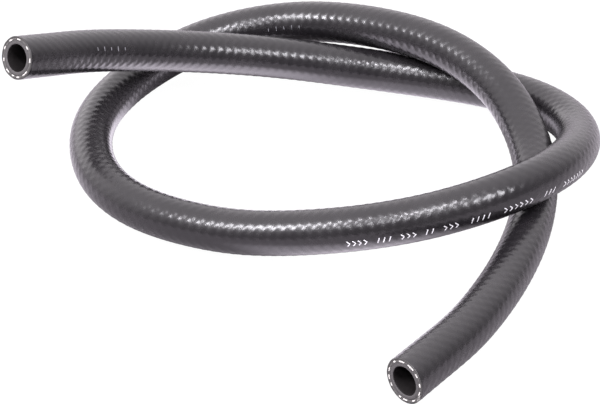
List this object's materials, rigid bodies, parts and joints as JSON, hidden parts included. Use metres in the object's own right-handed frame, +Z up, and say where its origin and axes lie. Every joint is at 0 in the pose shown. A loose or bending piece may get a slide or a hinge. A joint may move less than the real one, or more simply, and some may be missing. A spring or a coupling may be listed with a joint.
{
  "type": "braided rubber hose length",
  "caption": "Cut length of black textile-braided rubber hose lying in a loose overhand knot, with two bare square-cut ends.",
  "frame": {"origin": "centre of the bounding box, on the floor that the hose lies on", "axes": "+Z up from the floor; +Y away from the viewer, towards the far bend of the knot; +X to the viewer's right"},
  "size_m": [0.2734, 0.2796, 0.0688],
  "materials": {
    "lining_rubber": "matt cut face, smooth bore",
    "braid_yarn": "white textile yarn",
    "cover_rubber": "satin, with a diamond braid impression",
    "marking_ink": "thin white ink"
  },
  "bodies": {
    "root": {"inner_tube": "lining_rubber", "textile_braid": "braid_yarn", "outer_cover": "cover_rubber"}
  },
  "joints": []
}
